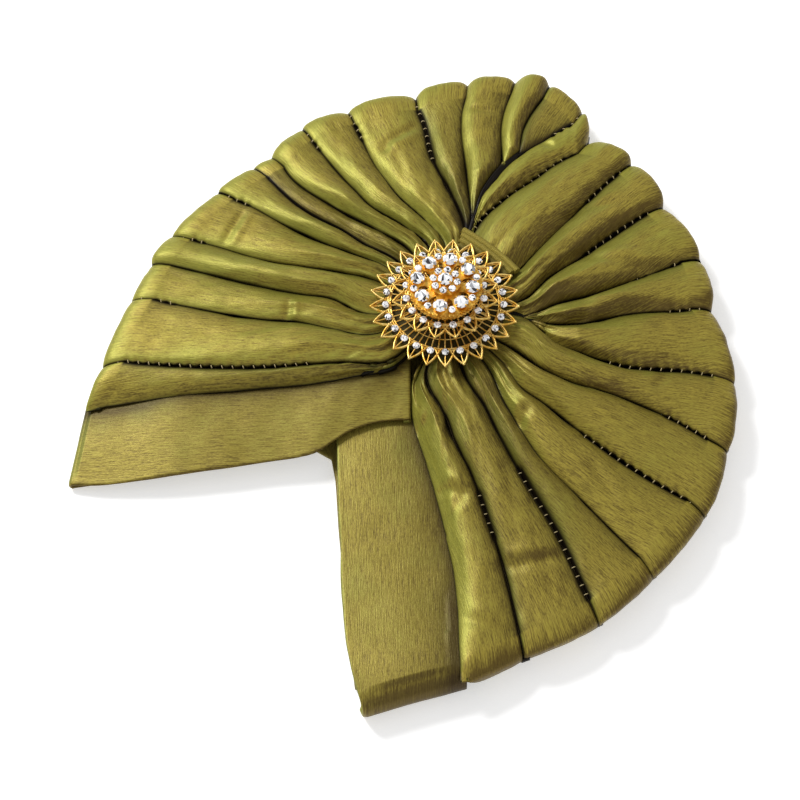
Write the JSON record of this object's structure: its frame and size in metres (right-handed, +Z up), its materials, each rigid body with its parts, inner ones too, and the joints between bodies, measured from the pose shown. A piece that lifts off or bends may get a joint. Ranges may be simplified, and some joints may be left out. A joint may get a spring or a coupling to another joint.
{
  "type": "pleated turban undercap",
  "caption": "Soft pleated turban cap lying flat, with its head opening at one side and a tiered filigree brooch with clear stones over the hub of the pleats.",
  "frame": {"origin": "on the surface that the cap lies on, under the hub of the pleats and the axis of the brooch", "axes": "+Z up out of the brooch, +Y away from the near tip towards the crown's far edge, +X away from the left tip"},
  "size_m": [0.295, 0.328, 0.0478],
  "materials": {
    "taffeta": "shot olive taffeta with a fine slub and a soft sheen",
    "back_cloth": "plain olive cloth",
    "gilt": "polished gold-coloured plating",
    "crystal": "clear faceted glass with a foiled back"
  },
  "bodies": {
    "root": {"back_panel": "back_cloth", "side_band": "taffeta", "front_band": "taffeta", "crown": "taffeta", "crown_edge": "taffeta", "hub_wrap": "taffeta", "brooch_pin": "gilt", "brooch_outer_tier": "gilt", "brooch_middle_tier": "gilt", "brooch_top": "gilt", "stone_centre": "crystal", "stone_ring_1": "crystal", "stone_ring_2": "crystal", "stone_ring_3": "crystal", "stone_ring_4": "crystal", "stone_ring_5": "crystal", "stone_ring_6": "crystal", "stone_ring_7": "crystal", "stone_ring_8": "crystal"}
  },
  "joints": []
}
